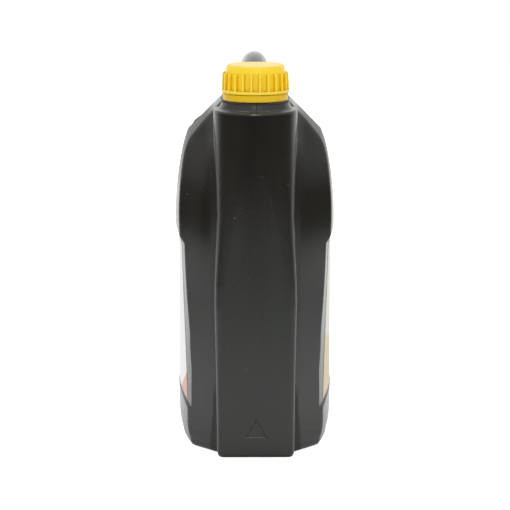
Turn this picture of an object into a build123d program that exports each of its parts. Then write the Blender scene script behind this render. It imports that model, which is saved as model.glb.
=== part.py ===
from build123d import *
import os
from math import cos, radians, tan

# Coolant jug of about five litres. Millimetres, +Z up, origin on the floor under the body's middle.
# The spout column faces -Y and the handle runs back along the top towards +Y.

# Bottle, one blow-moulded shell
WALL = 1.3
FOOT_ROUND = 6.0
FOOT_TUCK = 3.4
CHEEK_ROUND = 5.0
BASE_HALF_WIDTH = 58.8
BASE_NOSE = 79.0
BASE_TAIL = 108.0
BASE_RIM = 14.0
BASE_HOLLOW = 3.0
BASE_HOLLOW_DRAFT = 40.0

# Spout column down the front; its foot is set back a little so that a moulded mark stays inside the front
COLUMN_HEIGHT = 271.3
COLUMN_FRONT = 88.0
COLUMN_RADIUS = 32.8
COLUMN_FOOT_SET_BACK = 0.5
COLUMN_BACK = 24.0
COLUMN_BACK_ROUND = 24.0
COLUMN_FOOT_ROUND = 3.0
COLUMN_RIM_ROUND = 2.0
SHOULDER_DROP = 23.3

# Neck, on a vertical axis through the column's round top
NECK_SET_BACK = 32.5
NECK_R = 19.8
NECK_WALL = 2.0
NECK_ROOT_DEPTH = 22.0
CONE_HEIGHT = 6.1
CONE_FLARE = 2.9
CONE_FOOT_ROUND = 1.9
BEAD_DEPTH = 1.8
BEAD_HEIGHT = 2.0
NECK_ROOM = 1.9

# Handle, an oval tube bent in the middle plane over a scooped shoulder
HANDLE_HALF_WIDTH = 10.9
HANDLE_HALF_DEPTH = 13.0
HANDLE_RISE = 35.4
SCOOP_Y = 40.0
SCOOP_RISE = 15.7
SCOOP_R = 46.0

# Label panels sunk into both broad sides, open towards the front and sloped at the other edges
PANEL_START = 48.0
PANEL_REACH = 18.0
PANEL_SLOPE = 55.0
PANEL_FRONT = -54.0
PANEL_BACK = 62.0
PANEL_LOW = 34.7
PANEL_LOW_MIDDLE = 59.0
PANEL_LOW_BACK = 52.0
PANEL_TOP = 153.0
PANEL_CORNER = 6.0
FLOOR_FRONT = -56.0
FLOOR_MIDDLE = 14.0
FLOOR_BACK = 104.0
FLOOR_HALF_WIDTH = 61.0
FLOOR_BACK_DROP = 4.0

# Printed films on the panel floors
LABEL_FRONT_LOW = -40.5
LABEL_FRONT_TOP = -34.5
LABEL_BACK = 68.0
LABEL_LOW = 36.5
LABEL_TOP = 162.0
LABEL_LOW_CROWN = 9.0
LABEL_TOP_CROWN = 5.0
LABEL_CORNER = 5.0
LABEL_THICKNESS = 0.25
LABEL_GLUE = 0.05

# Screw cap
CAP_HEIGHT = 21.3
CAP_WALL = 1.6
CAP_CROWN_DRAFT = 1.4
CAP_CROWN_HEIGHT = 5.7
CAP_CROWN_ROUND = 2.2
CAP_HEAD_STEP = 1.6
SKIRT_CLEARANCE = 0.4
RIB_COUNT = 24
RIB_DEPTH = 2.1
RIB_WIDTH = 1.5
RIB_STOP = 5.4
FLANGE_REACH = 0.2
FLANGE_HEIGHT = 2.4

# Band that stays on the neck, and the wad that seals the mouth
RING_STEP = 1.5
RING_GAP = 1.2
RING_HEIGHT = 5.4
RING_LIP = 2.2
RING_CLEARANCE = 0.4
CAP_GAP = 0.4
WAD_THICKNESS = 1.6
WAD_CLEARANCE = 0.3
WAD_BACK_CLEARANCE = 0.1

# Heights and radii that follow from the sizes above
SHOULDER = COLUMN_HEIGHT - SHOULDER_DROP
NECK_Y = NECK_SET_BACK - COLUMN_FRONT
BEAD_R = NECK_R + BEAD_DEPTH
CAP_BORE_R = BEAD_R + SKIRT_CLEARANCE
RIB_ROOT_R = CAP_BORE_R + CAP_WALL + 0.5
RIB_TIP_R = RIB_ROOT_R + RIB_DEPTH
RING_R = RIB_ROOT_R + RING_STEP
CONE_TOP_R = RING_R + 0.1
CONE_FOOT_R = CONE_TOP_R + CONE_FLARE
CONE_TOP = COLUMN_HEIGHT + CONE_HEIGHT
RING_LOW = CONE_TOP + RING_GAP
RING_HIGH = RING_LOW + RING_HEIGHT
BEAD_HIGH = RING_HIGH
CAP_LOW = RING_HIGH + CAP_GAP
CAP_TOP = CAP_LOW + CAP_HEIGHT
WAD_HIGH = CAP_TOP - CAP_WALL - WAD_BACK_CLEARANCE
WAD_LOW = WAD_HIGH - WAD_THICKNESS
MOUTH = WAD_LOW - WAD_CLEARANCE


def body_outline(z, nose, corner_x, corner_y, side, tail, inset):
    """Plan of the body: blunt nose, swept cheeks, bowed sides and a round tail."""
    nose_x = corner_x / 2 - inset * 0.6
    cheek = (corner_x - inset, -corner_y + inset / 2)
    rear = (side * 0.84 - inset, tail * 0.9 - inset)
    flank = (side - inset, 0.62 * cheek[1] + 0.38 * rear[1])
    front = Line((-nose_x, inset - nose), (nose_x, inset - nose))
    back = ThreePointArc(rear, (0, tail - inset), (-rear[0], rear[1]))
    right = [Line((nose_x, inset - nose), cheek), ThreePointArc(cheek, flank, rear)]
    left = [edge.mirror(Plane.YZ) for edge in right]
    outline = make_face(Wire([front, *right, back, *left]))
    rear_corners = outline.vertices().filter_by(lambda v: abs(v.Y - rear[1]) < 0.01)
    outline = fillet(rear_corners, side * 0.38 - inset)
    cheeks = outline.vertices().filter_by(lambda v: abs(v.Y - cheek[1]) < 0.01)
    return Pos(0, 0, z) * fillet(cheeks, CHEEK_ROUND - inset * 0.7)


def body_form(inset):
    """The jug's main volume, from the floor to the ridge under the neck and handle."""
    lowest = (BASE_NOSE, 51.4, 48, BASE_HALF_WIDTH, BASE_TAIL)
    toe = [(0.0, FOOT_TUCK), (0.2, FOOT_TUCK * 0.42), (0.5, FOOT_TUCK * 0.12), (1.0, 0.0)]
    foot = [body_outline(inset + z * FOOT_ROUND, *lowest, inset + tuck) for z, tuck in toe]
    rows = [
        (inset + FOOT_ROUND, *lowest),
        (0.121 * SHOULDER, 78.5, 53.9, 48, 61.4, 110.0),
        (0.242 * SHOULDER, 78, 55.7, 48, 62.6, 111.0),
        (0.444 * SHOULDER, 77, 57.6, 47.5, 63.2, 112.0),
        (0.645 * SHOULDER, 76.3, 59.0, 47, 63.6, 112.0),
        (0.806 * SHOULDER, 74.5, 59.8, 45.5, 62.9, 111.0),
        (0.919 * SHOULDER, 70.5, 57.0, 42.5, 59.0, 107.5),
        (0.976 * SHOULDER - inset * 0.4, 66, 53.5, 40, 55.6, 102.0),
        (SHOULDER - inset * 0.7, 63, 50.2, 38, 53.2, 98.0),
    ]
    roof_rows = [
        rows[-1],
        (COLUMN_HEIGHT - 13.3 - inset, 60, 42.0, 38, 44.2, 66.0),
        (COLUMN_HEIGHT - 1.3 - inset, 57, 31.6, 38, 33.4, 36.0),
        (COLUMN_HEIGHT + 6.7 - inset, 54, 24.0, 38, 26.2, 10.0),
        (COLUMN_HEIGHT + 10.7 - inset, 50, 16.5, 36, 18.5, -4.0),
    ]
    base = loft(foot, ruled=True)
    trunk = loft([body_outline(*row, inset) for row in rows])
    roof = loft([body_outline(*row, inset) for row in roof_rows], ruled=True)
    return base + trunk + roof


def column_outline(z, half_width, flat_half, front, inset, shrink=0.0):
    """Plan of the column: flat front, round corners, straight sides into the body."""
    w, front, back = half_width - inset - shrink, front - inset - shrink, COLUMN_BACK + inset
    outline = make_face(Polyline((-w, -back), (-w, -front), (w, -front), (w, -back), close=True))
    outline = fillet(outline.vertices().group_by(Axis.Y)[0], half_width - flat_half - inset - shrink)
    return Pos(0, 0, z) * fillet(outline.vertices().group_by(Axis.Y)[-1], COLUMN_BACK_ROUND - inset)


def column_form(inset):
    """Spout column: round at the top, waisted, flat-fronted lower down."""
    low_front = COLUMN_FRONT - COLUMN_FOOT_SET_BACK
    foot = (30.0, 25.0, low_front)
    toe = [(0.0, 0.85), (0.3, 0.3), (1.0, 0.0)]
    top = COLUMN_HEIGHT - inset
    rim = [(-1.0, 0.0), (-0.3, 0.3), (0.0, 1.0)]
    rows = [
        (inset + COLUMN_FOOT_ROUND, *foot),
        (0.243 * COLUMN_HEIGHT, 30.8, 25.5, low_front),
        (0.442 * COLUMN_HEIGHT, 31.9, 25.5, low_front),
        (0.50 * COLUMN_HEIGHT, 31.7, 24.3, COLUMN_FRONT - 0.45),
        (0.565 * COLUMN_HEIGHT, 31.0, 21.8, COLUMN_FRONT - 0.4),
        (0.63 * COLUMN_HEIGHT, 30.2, 18.8, COLUMN_FRONT - 0.3),
        (0.70 * COLUMN_HEIGHT, 29.8, 15.4, COLUMN_FRONT - 0.2),
        (0.76 * COLUMN_HEIGHT, 30.5, 11.6, COLUMN_FRONT - 0.1),
        (0.82 * COLUMN_HEIGHT, 31.4, 7.2, COLUMN_FRONT),
        (0.87 * COLUMN_HEIGHT, 32.0, 3.4, COLUMN_FRONT),
        (0.92 * COLUMN_HEIGHT, COLUMN_RADIUS - 0.4, 1.2, COLUMN_FRONT),
        (top - COLUMN_RIM_ROUND, COLUMN_RADIUS, 0.6, COLUMN_FRONT),
    ]
    base = [column_outline(inset + z * COLUMN_FOOT_ROUND, *foot, inset, s * COLUMN_FOOT_ROUND) for z, s in toe]
    head = [column_outline(top + z * COLUMN_RIM_ROUND, *rows[-1][1:], inset, s * COLUMN_RIM_ROUND) for z, s in rim]
    shaft = [column_outline(*row, inset) for row in rows]
    return loft(base, ruled=True) + loft(shaft, ruled=True) + loft(head, ruled=True)


def handle_form(inset):
    """Oval grip swept from behind the neck, over the scoop and down the back."""
    crown = COLUMN_HEIGHT + HANDLE_RISE - HANDLE_HALF_DEPTH
    path = Spline(
        (0, -26, crown - 30), (0, 2, crown - 7), (0, 34, crown), (0, 62, crown - 4), (0, 80, crown - 18),
        (0, 87, crown - 46), (0, 82, crown - 78),
        tangents=((0, 0.6, 0.8), (0, -0.1, -1)),
    )
    ovals = []
    for where, wide, deep in (
        (0, 2.0, 1.7), (0.17, 1.25, 1.1), (0.36, 1.0, 1.0), (0.52, 1.06, 1.0), (0.68, 1.28, 1.02), (0.84, 1.35, 1.1),
        (1, 1.8, 1.5),
    ):
        station = Plane(path @ where, x_dir=(1, 0, 0), z_dir=path % where)
        ovals.append(station * Ellipse(HANDLE_HALF_WIDTH * wide - inset, HANDLE_HALF_DEPTH * deep - inset))
    return sweep(ovals, path, multisection=True)


def neck_clearance(inset):
    """Room round the neck, so that ring and cap turn clear of the shoulder."""
    radius = CONE_FOOT_R + NECK_ROOM + inset
    room = Cylinder(radius, 60, align=(Align.CENTER, Align.CENTER, Align.MIN))
    return Pos(0, NECK_Y, COLUMN_HEIGHT - inset) * room


def scoop(inset):
    """Finger gap cut across the shoulder under the grip."""
    return Pos(0, SCOOP_Y, COLUMN_HEIGHT + SCOOP_RISE) * Rot(0, 90, 0) * Cylinder(SCOOP_R + inset, 200)


def turned(points):
    """Ring-shaped solid about the neck axis from a half outline of radius and height."""
    profile = Plane.XZ * make_face(Polyline(*points, close=True))
    return Pos(0, NECK_Y, 0) * revolve(profile, Axis.Z)


def neck_form(inset):
    """Neck: flared foot, cone, plain tube and retaining bead, or the bore when inset is the wall."""
    root = COLUMN_HEIGHT - NECK_ROOT_DEPTH
    if inset > 0:
        bore = NECK_R - NECK_WALL
        return turned([
            (0, root - 1), (0, MOUTH + 1), (bore, MOUTH + 1), (bore, CONE_TOP - 1),
            (CONE_TOP_R - NECK_WALL, CONE_TOP - CONE_FLARE), (CONE_FOOT_R - NECK_WALL, COLUMN_HEIGHT - CONE_FLARE),
            (CONE_FOOT_R - NECK_WALL, root - 1),
        ])
    round_r = CONE_FOOT_ROUND
    return turned([
        (0, root), (0, MOUTH), (NECK_R, MOUTH), (NECK_R, BEAD_HIGH + 0.5), (BEAD_R, BEAD_HIGH),
        (BEAD_R, BEAD_HIGH - BEAD_HEIGHT), (NECK_R, BEAD_HIGH - BEAD_HEIGHT), (NECK_R, CONE_TOP),
        (CONE_TOP_R, CONE_TOP), (CONE_FOOT_R - 0.45 * round_r, COLUMN_HEIGHT + round_r),
        (CONE_FOOT_R + 0.05 * round_r, COLUMN_HEIGHT + 0.3 * round_r), (CONE_FOOT_R + 0.8 * round_r, COLUMN_HEIGHT),
        (CONE_FOOT_R, COLUMN_HEIGHT - round_r), (CONE_FOOT_R, root),
    ])


def panel_outline(x, grow):
    """Side-view outline of a label panel in the plane at x, widened all round by grow."""
    low, top, back = PANEL_LOW - grow, PANEL_TOP + grow, PANEL_BACK + grow
    low_back = PANEL_LOW_BACK - grow
    outline = make_face(Wire([
        Line((PANEL_FRONT, top), (PANEL_FRONT, low)),
        ThreePointArc((PANEL_FRONT, low), (0, PANEL_LOW_MIDDLE - grow), (back, low_back)),
        Line((back, low_back), (back, top)),
        Line((back, top), (PANEL_FRONT, top)),
    ]))
    outline = fillet(outline.vertices().group_by(Axis.X)[-1], PANEL_CORNER + 0.7 * grow)
    return Plane.YZ.offset(x) * outline


def panel_slab(inset):
    """Block that widens outwards at the panel's slope, from inside one flank to beyond it."""
    grow = inset / cos(radians(PANEL_SLOPE))
    widen = PANEL_REACH * tan(radians(PANEL_SLOPE))
    return loft([panel_outline(PANEL_START, grow), panel_outline(PANEL_START + PANEL_REACH, grow + widen)], ruled=True)


def panel_floor(inset):
    """Form whose flanks are the panel floors: bowed most towards the front."""
    side, back_x = FLOOR_HALF_WIDTH - inset, FLOOR_HALF_WIDTH - FLOOR_BACK_DROP - inset
    outlines = []
    for z, front_drop in ((15, 11.6), (65, 11.1), (120, 8.4), (190, 5.4)):
        front_x = side - front_drop
        right = [
            TangentArc((side, FLOOR_MIDDLE), (front_x, FLOOR_FRONT), tangent=(0, -1)),
            TangentArc((side, FLOOR_MIDDLE), (back_x, FLOOR_BACK), tangent=(0, 1)),
        ]
        ends = [
            Line((-front_x, FLOOR_FRONT), (front_x, FLOOR_FRONT)),
            Line((-back_x, FLOOR_BACK), (back_x, FLOOR_BACK)),
        ]
        left = [edge.mirror(Plane.YZ) for edge in right]
        outlines.append(Pos(0, 0, z) * make_face(Wire([*ends, *right, *left])))
    return loft(outlines)


def base_hollow(inset):
    """Shallow hollow pushed up into the base, so that the jug stands on its rim."""
    half_x, front, back = (size - BASE_RIM + inset for size in (BASE_HALF_WIDTH, BASE_NOSE, BASE_TAIL))
    plan = Pos(0, (back - front) / 2) * Rectangle(2 * half_x, front + back)
    plan = fillet(plan.vertices(), 24)
    return extrude(Pos(0, 0, inset - 0.01) * plan, amount=BASE_HOLLOW, taper=BASE_HOLLOW_DRAFT)


def bottle_form(inset):
    """The bottle's right side as a solid, moved inwards by inset."""
    trunk = body_form(inset) - (panel_slab(inset) - panel_floor(inset)) - scoop(inset)
    trunk = trunk + column_form(inset) - base_hollow(inset) + handle_form(inset)
    whole = trunk - neck_clearance(inset) + neck_form(inset)
    return whole & Pos(200, 0, 200) * Box(400, 800, 800)


def bottle():
    """Thin shell of even wall, worked out on one half and mirrored."""
    side = bottle_form(0.0) - bottle_form(WALL)
    return side + mirror(side, about=Plane.YZ)


def labels():
    """Thin films that lie on the two panel floors; the left one is on the -X side."""
    middle = (LABEL_FRONT_LOW + LABEL_BACK) / 2
    outline = make_face(Wire([
        Line((LABEL_FRONT_TOP, LABEL_TOP), (LABEL_FRONT_LOW, LABEL_LOW)),
        ThreePointArc((LABEL_FRONT_LOW, LABEL_LOW), (middle, LABEL_LOW + LABEL_LOW_CROWN), (LABEL_BACK, LABEL_LOW + 6)),
        Line((LABEL_BACK, LABEL_LOW + 6), (LABEL_BACK, LABEL_TOP)),
        ThreePointArc((LABEL_BACK, LABEL_TOP), (middle, LABEL_TOP + LABEL_TOP_CROWN), (LABEL_FRONT_TOP, LABEL_TOP)),
    ]))
    outline = fillet(outline.vertices().group_by(Axis.X)[-1], LABEL_CORNER)
    slab = extrude(Plane.YZ.offset(PANEL_START) * outline, amount=20)
    floor = panel_floor(0.0)
    film = (slab & Pos(LABEL_GLUE + LABEL_THICKNESS, 0, 0) * floor) - Pos(LABEL_GLUE, 0, 0) * floor
    return mirror(film, about=Plane.YZ), film


def cap():
    """Screw cap: drafted crown, ribbed grip, flange at the rim, hollow skirt."""
    shoulder, shoulder_r = CAP_TOP - CAP_CROWN_HEIGHT, RIB_ROOT_R - 0.6
    flange_top, flange_r = CAP_LOW + FLANGE_HEIGHT, RIB_TIP_R + FLANGE_REACH
    head_r = CAP_BORE_R - CAP_HEAD_STEP
    profile = make_face(Polyline(
        (0, CAP_TOP), (shoulder_r - CAP_CROWN_DRAFT, CAP_TOP), (shoulder_r, shoulder),
        (RIB_ROOT_R, flange_top), (flange_r, flange_top), (flange_r, CAP_LOW), (CAP_BORE_R, CAP_LOW),
        (CAP_BORE_R, shoulder - 2), (head_r, shoulder), (head_r, CAP_TOP - CAP_WALL), (0, CAP_TOP - CAP_WALL),
        close=True,
    ))
    crown_edge = profile.vertices().filter_by(lambda v: v.Y > CAP_TOP - 0.01 and v.X > 1)
    profile = Plane.XZ * fillet(crown_edge, CAP_CROWN_ROUND)
    body = Pos(0, NECK_Y, 0) * revolve(profile, Axis.Z)
    rib_top = CAP_TOP - RIB_STOP
    rib_side = make_face(Polyline(
        (RIB_ROOT_R - 0.8, flange_top - 0.3), (RIB_TIP_R, flange_top - 0.3), (RIB_TIP_R - 0.4, rib_top - 1.8),
        (RIB_TIP_R - 1.1, rib_top - 0.5), (shoulder_r - 0.6, rib_top), close=True,
    ))
    rib = extrude(Plane.XZ * rib_side, amount=RIB_WIDTH / 2, both=True)
    turns = [(i + 0.5) * 360 / RIB_COUNT for i in range(RIB_COUNT)]
    return body + [Pos(0, NECK_Y, 0) * Rot(0, 0, turn) * rib for turn in turns]


def tamper_ring():
    """Band under the cap, held on the neck by an inner lip below the bead."""
    lip, bore = NECK_R + RING_CLEARANCE, BEAD_R + 2 * RING_CLEARANCE
    return turned([
        (lip, RING_LOW), (RING_R - 0.3, RING_LOW), (RING_R, RING_HIGH), (bore, RING_HIGH),
        (bore, RING_LOW + RING_LIP), (lip, RING_LOW + RING_LIP),
    ])


def sealing_wad():
    """Foam disc in the head of the cap, over the mouth."""
    radius = CAP_BORE_R - CAP_HEAD_STEP - RING_CLEARANCE
    return turned([(0, WAD_LOW), (radius, WAD_LOW), (radius, WAD_HIGH), (0, WAD_HIGH)])


os.makedirs("parts", exist_ok=True)
label_left, label_right = labels()
pieces = {
    "bottle": bottle(),
    "label_left": label_left,
    "label_right": label_right,
    "tamper_ring": tamper_ring(),
    "sealing_wad": sealing_wad(),
    "cap": cap(),
}
for name, piece in pieces.items():
    export_step(piece, f"parts/{name}.step")
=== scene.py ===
from math import cos, pi, radians, sin, sqrt

import bpy
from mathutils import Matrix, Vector


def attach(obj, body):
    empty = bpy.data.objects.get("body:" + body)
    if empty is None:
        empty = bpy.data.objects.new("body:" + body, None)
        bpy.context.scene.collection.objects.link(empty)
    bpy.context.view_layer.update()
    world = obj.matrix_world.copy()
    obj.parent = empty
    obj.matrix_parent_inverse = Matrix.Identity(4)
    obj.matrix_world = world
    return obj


# Values of the CAD model that the added pieces and the shading sit on, in millimetres
MM = 0.001
NECK_Y = -55.5
NECK_R = 19.8
CAP_BORE_R = 22.0
CAP_LOW = 284.4
CAP_TOP = 305.7
RIB_ROOT_R = 24.1
COLUMN_FOOT_FRONT = 87.5
CONE_LOW = 271.0
CONE_TOP = 277.4
GRIP_LOW = 288.0

# Screw threads: ridge section and place in millimetres, steps in each turn, how fast the ends run out
THREAD_PITCH = 5.0
THREAD_TURNS = 1.75
THREAD_STEPS = 72
THREAD_ROOT_HALF = 1.1
THREAD_CREST_HALF = 0.45
THREAD_SINK = 0.3
THREAD_RUN_OUT = 8
NECK_THREAD_LOW = 288.2
NECK_THREAD_CREST_R = 21.2
CAP_THREAD_LOW = 285.7
CAP_THREAD_CREST_R = 20.6

# Triangle mark: size, place and the rib's section as offset and height, in millimetres
MARK_SIDE = 15.7
MARK_X = 0.35
MARK_LOW = 16.9
MARK_SECTION = [(-0.75, -0.1), (-0.45, 0.36), (0.0, 0.48), (0.45, 0.36), (0.75, -0.1)]

# Rounding that the shading gives to moulded edges, in metres
EDGE_ROUND = 0.001
COLUMN_ROUND = 0.0022
SHOULDER_ROUND = 0.013
CAP_EDGE_ROUND = 0.0006
CAP_FLANGE_ROUND = 0.0022
CAP_CROWN_ROUND = 0.0042

# Places where the bottle's shading changes, each from start to full change, in metres
WARM_UP = (0.12, 0.19)
SHOULDER_OUT = (0.032, 0.040)
SHOULDER_UP = (0.205, 0.250)
SOFT_COLUMN_LOW = (0.06, 0.10)
SOFT_COLUMN_TOP = (0.245, 0.255)
SATIN_COLUMN_LOW = (0.04, 0.14)
SATIN_COLUMN_TOP = (0.165, 0.245)
SATIN_COLUMN_OUT = (0.034, 0.036)
SEAM_X = 0.0004
SEAM_WIDTH = (0.0001, 0.0007)
SEAM_UP = (0.24, 0.27)
CREASE_X = 0.0049
CREASE_WIDTH = (0.0003, 0.0012)
RIDGE_OUT = (0.0042, 0.0058)
NECK_BACK = (-0.028, -0.025)
RECESS_UP = (0.010, 0.035)
RECESS_REACH = (0.0362, 0.0340)
RECESS_EDGE = (-0.0012, 0.0004)
RECESS_START = (0.0308, 0.0312)
RECESS_FRONT = (-0.0850, -0.0840)
RECESS_BACK = (-0.05, -0.04)
RECESS_TOP = (0.045, 0.060)
# Painted highlight along the triangle mark's lower edge: its height, width, reach and depth
LIT_EDGE_Z = 0.0166
LIT_EDGE_WIDTH = (0.0001, 0.0003)
LIT_EDGE_OUT = (0.0070, 0.0078)
LIT_EDGE_BACK = (-0.0870, -0.0868)

# Where the cap's shading changes, in millimetres from the rib's root, the cap's low edge and its top
RIB_RISE = (0.5, 1.6)
FLANGE_EDGE = (2.2, 3.0)
CROWN_SIDE = (-6.5, -4.5)
CROWN_HEAD = (-2.2, 0.0)

# Colours on the 0 to 255 screen scale
BLACK_LOW = ((21, 24, 20), (29, 33, 28))
BLACK_HIGH = ((24, 23, 19), (34, 32, 27))
GRIP_LIT_GREY = ((54, 54, 50), (72, 72, 67))
CREASE_SHADE_GREY = (24, 24, 22)
GAP_SHADE_BLACK = (8, 5, 3)
# Painted highlight on the triangle mark's lower edge
LIT_EDGE_GREY = (150, 151, 147)
SPECK_GREY = (150, 150, 146)
# Cap yellow in painted shade and in the open
CAP_YELLOW = ((226, 178, 0), (242, 208, 26))
# Painted shade: the tamper ring's darker copy of the cap yellow
BAND_SHADED_YELLOW = ((204, 158, 0), (224, 184, 6))
# Painted highlight on the rib tops and the flange
RIB_HIGHLIGHT_YELLOW = (255, 222, 62)
# Painted sheen of the top light on the cap's head
HEAD_SHEEN_YELLOW = (200, 176, 62)
FADED_YELLOW = (236, 188, 24)
FOAM_WHITE = ((226, 226, 220), (240, 240, 235))
LEFT_GROUND = ((228, 228, 225), (236, 236, 233))
LEFT_FIELD = (216, 158, 146)
RIGHT_GROUND = ((208, 205, 195), (218, 215, 206))
RIGHT_FIELD = (206, 184, 140)

# Edges of the labels' plain fields: where they run and how soft they are, in metres
WEDGE_Y = 0.040
WEDGE_SLOPE = 0.72
WEDGE_EDGE = (0.0580, 0.0588)
BAND_SLOPE = 0.12
BAND_EDGE = (0.0800, 0.0860)

# Camera fitted to the photograph's outline
CAMERA_DISTANCE = 2.0
CAMERA_ELEVATION = 10.0
CAMERA_AZIMUTH = -0.55
CAMERA_TARGET = (0.00022, 0.0, 0.146)
CAMERA_LENS = 174.9

# Lamps: place, aim, size in metres and power in watts
OVERHEAD = ((0.0, 0.15, 1.5), (0, 0, 0.15), (0.9, 0.5), 5)
FRONT_TOP = ((0.0, -1.25, 1.2), (0, 0, 0.2), (0.35, 0.3), 2.2)

# The unlit room in front, as seen in reflections: where its back edge and its top begin and end, its grey
DARK_EDGE = (0.3, 0.8)
DARK_TOP = (0.0, 0.8)
ROOM_DARK = 0.05

# The floor: its edges in metres, its grey, and the glow that only the camera sees
FLOOR_FRONT = -0.85
FLOOR_SIDE = 0.9
FLOOR_BACK = 3.0
FLOOR_GREY = 0.86
FLOOR_GLOW = 0.78


def srgb(colour):
    """Linear colour from 0-255 screen values."""
    def line(v):
        v = v / 255
        return v / 12.92 if v <= 0.04045 else ((v + 0.055) / 1.055) ** 2.4
    return (*(line(v) for v in colour), 1.0)


class Nodes:
    """Small helper round a material's node tree."""

    def __init__(self, name):
        self.material = bpy.data.materials.new(name)
        self.material.use_nodes = True
        self.tree = self.material.node_tree
        self.shader = self.tree.nodes["Principled BSDF"]
        self.coords = self.tree.nodes.new("ShaderNodeTexCoord").outputs["Object"]
        self.x, self.y, self.z = self.add("SeparateXYZ", Vector=self.coords).outputs
        self.half = self.math("ABSOLUTE", self.x)

    def add(self, kind, **inputs):
        node = self.tree.nodes.new("ShaderNode" + kind)
        for key, value in inputs.items():
            self.feed(node.inputs[key.replace("_", " ")], value)
        return node

    def feed(self, socket, value):
        if isinstance(value, bpy.types.NodeSocket):
            self.tree.links.new(value, socket)
        else:
            socket.default_value = value

    def math(self, operation, *values):
        node = self.tree.nodes.new("ShaderNodeMath")
        node.operation = operation
        for i, value in enumerate(values):
            self.feed(node.inputs[i], value)
        return node.outputs[0]

    def product(self, first, *others):
        for value in others:
            first = self.math("MULTIPLY", first, value)
        return first

    def sum(self, first, *others):
        for value in others:
            first = self.math("ADD", first, value)
        return first

    def noise(self, scale, detail=2.0, vector=None):
        node = self.add("TexNoise", Scale=scale, Detail=detail, Roughness=0.5)
        self.feed(node.inputs["Vector"], vector or self.coords)
        return node.outputs["Fac"]

    def ramp(self, value, span, low=0.0, high=1.0):
        """Goes from low to high as the value crosses the span."""
        node = self.tree.nodes.new("ShaderNodeMapRange")
        node.clamp = True
        for i, v in enumerate((value, *span, low, high)):
            self.feed(node.inputs[i], v)
        return node.outputs[0]

    def fall(self, value, span, high=1.0):
        """Goes from high to nothing as the value crosses the span."""
        return self.ramp(value, span, high, 0.0)

    def line(self, value, centre, width, high=1.0):
        """A soft line where the value is near its centre."""
        return self.fall(self.math("ABSOLUTE", self.math("SUBTRACT", value, centre)), width, high)

    def mix(self, factor, a, b):
        node = self.tree.nodes.new("ShaderNodeMix")
        node.data_type = "RGBA"
        self.feed(node.inputs["Factor"], factor)
        self.feed(node.inputs[6], a)
        self.feed(node.inputs[7], b)
        return node.outputs[2]

    def shades(self, factor, pair):
        return self.mix(factor, srgb(pair[0]), srgb(pair[1]))

    def stretched(self, *scale):
        return self.add("Mapping", Vector=self.coords, Scale=scale).outputs[0]

    def bump(self, height, distance, strength=1.0, normal=None):
        node = self.add("Bump", Height=height, Distance=distance, Strength=strength)
        if normal is not None:
            self.feed(node.inputs["Normal"], normal)
        return node.outputs[0]

    def surface(self, **inputs):
        for key, value in inputs.items():
            self.feed(self.shader.inputs[key.replace("_", " ")], value)


def from_level(level, span):
    """A span given in millimetres from a level, as metres."""
    return ((level + span[0]) * MM, (level + span[1]) * MM)


def shoulder_zone(n):
    return n.product(n.ramp(n.half, SHOULDER_OUT), n.ramp(n.z, SHOULDER_UP))


def grip_zone(n):
    return n.ramp(n.z, from_level(GRIP_LOW, (-4, 4)))


def seam_zone(n):
    """The mould's parting line, faint on the column and clear on the neck and the handle."""
    return n.product(n.line(n.x, SEAM_X, SEAM_WIDTH), n.ramp(n.z, SEAM_UP, 0.2, 1.0))


def cone_zone(n):
    """Front of the cone under the cap."""
    return n.product(n.ramp(n.z, from_level(CONE_LOW, (0, 1))), n.fall(n.y, NECK_BACK))


def recess_zone(n):
    """The corners beside the column's foot, which widen downwards."""
    reach = n.ramp(n.z, RECESS_UP, *RECESS_REACH)
    beside = n.fall(n.math("SUBTRACT", n.half, reach), RECESS_EDGE, 0.8)
    start = n.ramp(n.half, RECESS_START)
    depth = n.product(n.ramp(n.y, RECESS_FRONT), n.fall(n.y, RECESS_BACK))
    return n.product(beside, start, depth, n.fall(n.z, RECESS_TOP))


def gap_zone(n, cone):
    """Places in deep shade: under the tamper ring and beside the column's foot."""
    ring = n.ramp(n.z, from_level(CONE_TOP, (-1.4, -0.6)))
    ring = n.product(cone, ring, n.fall(n.z, from_level(CONE_TOP, (0.6, 1.6))))
    return n.math("MAXIMUM", ring, recess_zone(n))


def lit_edge_zone(n):
    """Painted highlight on the lower edge of the triangle mark."""
    edge = n.line(n.z, LIT_EDGE_Z, LIT_EDGE_WIDTH, 0.45)
    return n.product(edge, n.fall(n.half, LIT_EDGE_OUT), n.fall(n.y, LIT_EDGE_BACK))


def bottle_colour(n, tone, mottle, grip, gap):
    warm = n.ramp(n.z, WARM_UP)
    darker = n.mix(warm, srgb(BLACK_LOW[0]), srgb(BLACK_HIGH[0]))
    lighter = n.mix(warm, srgb(BLACK_LOW[1]), srgb(BLACK_HIGH[1]))
    base = n.mix(n.ramp(tone, (0.35, 0.65)), darker, lighter)
    # Painted light: the grip is lighter grey, standing in for the top light that falls on the handle.
    base = n.mix(grip, base, n.shades(mottle, GRIP_LIT_GREY))
    # Painted shade in the creases beside the grip's ridge.
    base = n.mix(n.product(grip, n.line(n.half, CREASE_X, CREASE_WIDTH, 0.6)), base, srgb(CREASE_SHADE_GREY))
    # Painted shade: near black under the tamper ring and beside the column's foot.
    base = n.mix(gap, base, srgb(GAP_SHADE_BLACK))
    # Painted highlight on the triangle mark's lower edge.
    base = n.mix(lit_edge_zone(n), base, srgb(LIT_EDGE_GREY))
    specks = n.ramp(n.noise(302.0, detail=0.0), (0.87, 0.89), 0.0, 0.15)
    return n.mix(specks, base, srgb(SPECK_GREY))


def bottle_roughness(n, tone, grain, shoulder, dull):
    column = n.product(n.ramp(n.z, SATIN_COLUMN_LOW), n.fall(n.z, SATIN_COLUMN_TOP))
    column = n.product(column, n.fall(n.half, SATIN_COLUMN_OUT), 0.12)
    satin = n.ramp(n.sum(grain, n.product(tone, 0.6)), (0.5, 1.1), 0.14, 0.24)
    return n.sum(satin, column, n.product(dull, 0.5), n.product(shoulder, 0.6))


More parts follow.
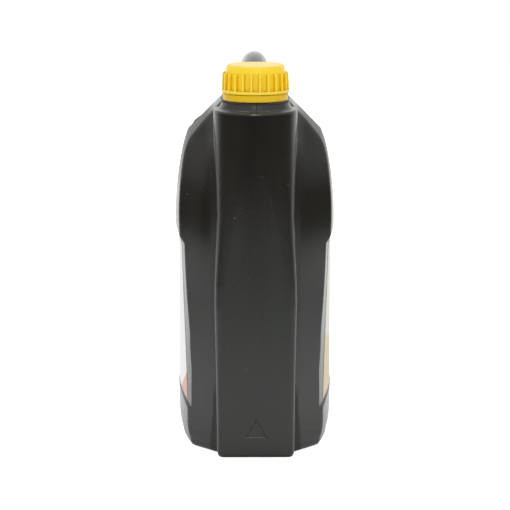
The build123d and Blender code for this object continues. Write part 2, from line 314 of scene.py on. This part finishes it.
def bottle_normal(n, grain, shoulder, grip, seam):
    middle = n.product(n.ramp(n.z, SOFT_COLUMN_LOW), n.fall(n.z, SOFT_COLUMN_TOP))
    edge = n.ramp(middle, (0.0, 1.0), EDGE_ROUND, COLUMN_ROUND)
    rounding = n.math("MAXIMUM", edge, n.ramp(shoulder, (0.0, 1.0), EDGE_ROUND, SHOULDER_ROUND))
    soft = n.add("Bevel", Radius=rounding).outputs[0]
    skin = n.bump(grain, 0.00008, 0.35, soft)
    waves = n.bump(n.noise(11.0, detail=1.0), 0.0006, 0.25, skin)
    ridge = n.product(grip, n.fall(n.half, RIDGE_OUT))
    return n.bump(n.sum(n.product(seam, 0.1), ridge), 0.0014, 1.0, waves)


def bottle_plastic():
    """Black polyethylene: fine grain, flow streaks, a few dust specks, a parting line, a grip painted
    lighter grey for the top light on it with painted shade in its creases, painted shade under the tamper
    ring and beside the column's foot, and a painted highlight on the triangle mark's lower edge.
    """
    n = Nodes("bottle_plastic")
    streaks = n.noise(60.0, detail=3.0, vector=n.stretched(1.0, 1.0, 0.12))
    mottle = n.noise(9.0, detail=3.0)
    grain = n.noise(1700.0)
    tone = n.sum(n.product(streaks, 0.6), n.product(mottle, 0.4))
    shoulder, grip, seam, cone = shoulder_zone(n), grip_zone(n), seam_zone(n), cone_zone(n)
    gap = gap_zone(n, cone)
    dull = n.math("MAXIMUM", n.product(seam, cone), gap)
    n.surface(
        Base_Color=bottle_colour(n, tone, mottle, grip, gap),
        Roughness=bottle_roughness(n, tone, grain, shoulder, dull),
        Normal=bottle_normal(n, grain, shoulder, grip, seam),
        IOR=1.55,
        Sheen_Weight=0.3,
        Sheen_Roughness=0.3,
    )
    return n.material


def cap_colour(n, mottle, yellows):
    """Painted shade deepens the yellow between the ribs, a painted highlight lightens the ribs and the
    flange, and painted sheen makes the head paler and greyer.
    """
    open_sky = n.add("AmbientOcclusion", Distance=0.02).outputs["AO"]
    # Painted shade: the yellow deepens where ambient occlusion finds the grooves between the ribs.
    tone = n.shades(n.ramp(open_sky, (0.3, 0.75)), yellows)
    offset = n.math("SUBTRACT", n.y, NECK_Y * MM)
    radius = n.math("SQRT", n.sum(n.product(n.x, n.x), n.product(offset, offset)))
    raised = n.ramp(radius, from_level(RIB_ROOT_R, RIB_RISE), 0.0, 0.6)
    raised = n.product(raised, n.ramp(n.z, from_level(CAP_LOW, (-0.1, 0))))
    # Painted highlight on the rib tops and the flange.
    tone = n.mix(raised, tone, srgb(RIB_HIGHLIGHT_YELLOW))
    # Painted sheen: the head is greyed and paled as the top light makes it look.
    tone = n.mix(n.ramp(n.z, from_level(CAP_TOP, CROWN_HEAD), 0.0, 0.5), tone, srgb(HEAD_SHEEN_YELLOW))
    return n.mix(n.product(mottle, 0.2), tone, srgb(FADED_YELLOW))


def cap_plastic(name, yellows):
    """Satin moulded plastic with soft edges and a rounded crown."""
    n = Nodes(name)
    mottle = n.noise(60.0, detail=3.0)
    grain = n.noise(2200.0, detail=1.0)
    crown = n.ramp(n.z, from_level(CAP_TOP, CROWN_SIDE), CAP_EDGE_ROUND, CAP_CROWN_ROUND)
    flange = n.ramp(n.z, from_level(CAP_LOW, FLANGE_EDGE), CAP_FLANGE_ROUND, CAP_EDGE_ROUND)
    soft = n.add("Bevel", Radius=n.math("MAXIMUM", crown, flange)).outputs[0]
    n.surface(
        Base_Color=cap_colour(n, mottle, yellows),
        Roughness=n.ramp(mottle, (0.3, 0.7), 0.26, 0.34),
        Normal=n.bump(grain, 0.00005, 0.25, soft),
        IOR=1.5,
        Sheen_Weight=0.12,
        Sheen_Roughness=0.3,
        Subsurface_Weight=0.12,
        Subsurface_Radius=(0.004, 0.002, 0.0005),
        Subsurface_Scale=1.0,
    )
    return n.material


def wad_foam():
    """Fine-celled white foam."""
    n = Nodes("wad_foam")
    cells = n.add("TexVoronoi", Scale=1400.0).outputs["Distance"]
    n.surface(
        Base_Color=n.shades(n.noise(300.0), FOAM_WHITE),
        Roughness=0.8,
        Normal=n.bump(cells, 0.0002, 0.5),
    )
    return n.material


def wedge_field(n):
    """Below a line that falls away from the label's front edge."""
    slope = n.product(n.sum(n.y, WEDGE_Y), WEDGE_SLOPE)
    return n.fall(n.sum(n.z, slope), WEDGE_EDGE)


def band_field(n):
    """Below a nearly level line with a soft edge."""
    return n.fall(n.sum(n.z, n.product(n.y, BAND_SLOPE)), BAND_EDGE)


def label_film(name, ground, field_colour, field_shape):
    """Printed film: a pale ground with one plain field of colour low down."""
    n = Nodes(name)
    pale = n.shades(n.noise(35.0), ground)
    n.surface(
        Base_Color=n.mix(field_shape(n), pale, srgb(field_colour)),
        Roughness=n.ramp(n.noise(900.0), (0.3, 0.7), 0.28, 0.38),
        Normal=n.bump(n.noise(60.0), 0.0002, 0.2),
        IOR=1.5,
    )
    return n.material


def assign(obj, material):
    obj.data.materials.clear()
    obj.data.materials.append(material)


def new_object(name, data):
    obj = bpy.data.objects.new(name, data)
    bpy.context.scene.collection.objects.link(obj)
    return obj


def new_mesh(name, vertices, faces, material, smooth=True):
    """A piece from vertices in millimetres."""
    mesh = bpy.data.meshes.new(name)
    mesh.from_pydata([Vector(v) * MM for v in vertices], [], faces)
    mesh.polygons.foreach_set("use_smooth", [smooth] * len(mesh.polygons))
    mesh.update()
    mesh.materials.append(material)
    return new_object(name, mesh)


def thread(name, root_r, crest_r, low, material):
    """Helical ridge of trapezoid section; it runs out to nothing at both ends."""
    steps = int(THREAD_TURNS * THREAD_STEPS)
    root_half, crest_half = THREAD_ROOT_HALF, THREAD_CREST_HALF
    vertices, faces = [], []
    for i in range(steps + 1):
        turned = i / steps * THREAD_TURNS
        angle = turned * 2 * pi
        z = low + turned * THREAD_PITCH
        fade = min(1.0, turned * THREAD_RUN_OUT, (THREAD_TURNS - turned) * THREAD_RUN_OUT)
        crest = root_r + (crest_r - root_r) * max(fade, 0.05)
        section = [(root_r, -root_half), (crest, -crest_half), (crest, crest_half), (root_r, root_half)]
        for radius, dz in section:
            vertices.append((radius * cos(angle), NECK_Y + radius * sin(angle), z + dz * max(fade, 0.2)))
    for i in range(steps):
        for k in range(4):
            a, b = i * 4 + k, i * 4 + (k + 1) % 4
            faces.append((a, b, b + 4, a + 4))
    faces.append((3, 2, 1, 0))
    faces.append(tuple(steps * 4 + k for k in range(4)))
    return new_mesh(name, vertices, faces, material)


def triangle_mark(material):
    """Plain moulded triangle outline, a low rounded rib on the column's foot."""
    height = MARK_SIDE * sqrt(3) / 2
    left, right = MARK_X - MARK_SIDE / 2, MARK_X + MARK_SIDE / 2
    corners = [(left, MARK_LOW), (right, MARK_LOW), (MARK_X, MARK_LOW + height)]
    middle = (MARK_X, MARK_LOW + height / 3)
    vertices, faces = [], []
    for x, z in corners:
        away = Vector((x - middle[0], z - middle[1])).normalized()
        for offset, rise in MARK_SECTION:
            reach = offset * 2
            vertices.append((x + away.x * reach, -COLUMN_FOOT_FRONT - rise, z + away.y * reach))
    count = len(MARK_SECTION)
    for i in range(3):
        here, there = i * count, (i + 1) % 3 * count
        for k in range(count):
            after = (k + 1) % count
            faces.append((here + k, here + after, there + after, there + k))
    return new_mesh("triangle_mark", vertices, faces, material, smooth=False)


def area_light(name, location, target, size, power):
    data = bpy.data.lights.new(name, "AREA")
    data.shape = "RECTANGLE"
    data.size, data.size_y = size
    data.energy = power
    lamp = new_object(name, data)
    lamp.location = location
    lamp.rotation_euler = (Vector(target) - Vector(location)).to_track_quat("-Z", "Y").to_euler()


def white_world():
    """White studio all round; glossy reflections see the unlit room low in front and at the sides."""
    world = bpy.data.worlds.new("studio")
    bpy.context.scene.world = world
    world.use_nodes = True
    nodes, links = world.node_tree.nodes, world.node_tree.links
    background = nodes["Background"]

    def node(kind, *values, **settings):
        made = nodes.new("ShaderNode" + kind)
        for key, value in settings.items():
            setattr(made, key, value)
        for i, value in enumerate(values):
            if isinstance(value, bpy.types.NodeSocket):
                links.new(value, made.inputs[i])
            else:
                made.inputs[i].default_value = value
        return made

    way = node("SeparateXYZ", node("TexCoord").outputs["Generated"]).outputs
    ahead = node("MapRange", way[1], *DARK_EDGE, 1.0, 0.0).outputs[0]
    low = node("MapRange", way[2], *DARK_TOP, 1.0, 0.0).outputs[0]
    dark = node("Math", ahead, low, operation="MULTIPLY").outputs[0]
    glossy = node("LightPath").outputs["Is Glossy Ray"]
    shade = node("Mix", data_type="RGBA")
    shade.inputs[6].default_value = (1, 1, 1, 1)
    shade.inputs[7].default_value = (ROOM_DARK, ROOM_DARK, ROOM_DARK, 1)
    links.new(node("Math", dark, glossy, operation="MULTIPLY").outputs[0], shade.inputs["Factor"])
    links.new(shade.outputs[2], background.inputs["Color"])
    background.inputs["Strength"].default_value = 1.0


def floor_material():
    """Pale ground, with a glow that only the camera sees."""
    n = Nodes("floor_white")
    n.surface(Base_Color=(FLOOR_GREY, FLOOR_GREY, FLOOR_GREY, 1), Roughness=0.9)
    glow = n.add("Emission", Color=(1, 1, 1, 1), Strength=FLOOR_GLOW)
    both = n.add("AddShader")
    pick = n.add("MixShader")
    seen = n.add("LightPath").outputs["Is Camera Ray"]
    output = [node for node in n.tree.nodes if node.type == "OUTPUT_MATERIAL"][0]
    n.tree.links.new(n.shader.outputs[0], both.inputs[0])
    n.tree.links.new(glow.outputs[0], both.inputs[1])
    n.tree.links.new(seen, pick.inputs[0])
    n.tree.links.new(n.shader.outputs[0], pick.inputs[1])
    n.tree.links.new(both.outputs[0], pick.inputs[2])
    n.tree.links.new(pick.outputs[0], output.inputs["Surface"])
    return n.material


def white_floor():
    """Pale floor that reads white to the camera and still takes the object's shadow."""
    mesh = bpy.data.meshes.new("floor")
    side, front, back = FLOOR_SIDE, FLOOR_FRONT, FLOOR_BACK
    corners = [(-side, front, 0), (side, front, 0), (side, back, 0), (-side, back, 0)]
    mesh.from_pydata(corners, [], [(0, 1, 2, 3)])
    mesh.materials.append(floor_material())
    new_object("floor", mesh)


def camera():
    data = bpy.data.cameras.new("camera")
    data.lens = CAMERA_LENS
    data.sensor_width = 36.0
    data.clip_end = 20.0
    eye = new_object("camera", data)
    tilt, turn = radians(CAMERA_ELEVATION), radians(CAMERA_AZIMUTH)
    target = Vector(CAMERA_TARGET)
    back = Vector((sin(turn) * cos(tilt), -cos(turn) * cos(tilt), sin(tilt)))
    eye.location = target + back * CAMERA_DISTANCE
    eye.rotation_euler = (target - eye.location).to_track_quat("-Z", "Y").to_euler()
    bpy.context.scene.camera = eye


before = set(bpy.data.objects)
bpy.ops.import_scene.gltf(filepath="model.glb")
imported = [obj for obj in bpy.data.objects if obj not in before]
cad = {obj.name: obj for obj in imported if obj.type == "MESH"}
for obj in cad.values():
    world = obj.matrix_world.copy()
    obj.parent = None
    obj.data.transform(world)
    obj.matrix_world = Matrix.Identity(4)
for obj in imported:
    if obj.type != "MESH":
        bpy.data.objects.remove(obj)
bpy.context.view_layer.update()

black = bottle_plastic()
yellow = cap_plastic("cap_plastic", CAP_YELLOW)
assign(cad["bottle"], black)
assign(cad["cap"], yellow)
# Painted shade: the tamper ring takes a darker copy of the cap's plastic, for the shade under the flange.
assign(cad["tamper_ring"], cap_plastic("band_plastic_shaded", BAND_SHADED_YELLOW))
assign(cad["sealing_wad"], wad_foam())
assign(cad["label_left"], label_film("label_film_left", LEFT_GROUND, LEFT_FIELD, wedge_field))
assign(cad["label_right"], label_film("label_film_right", RIGHT_GROUND, RIGHT_FIELD, band_field))

neck_thread = thread("neck_thread", NECK_R - THREAD_SINK, NECK_THREAD_CREST_R, NECK_THREAD_LOW, black)
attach(neck_thread, "jug")
cap_thread = thread("cap_thread", CAP_BORE_R + THREAD_SINK, CAP_THREAD_CREST_R, CAP_THREAD_LOW, yellow)
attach(cap_thread, "screw_cap")
mark = triangle_mark(black)
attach(mark, "jug")

white_world()
white_floor()
area_light("overhead", *OVERHEAD)
area_light("front_top", *FRONT_TOP)
camera()
bpy.context.scene.view_settings.view_transform = "Standard"
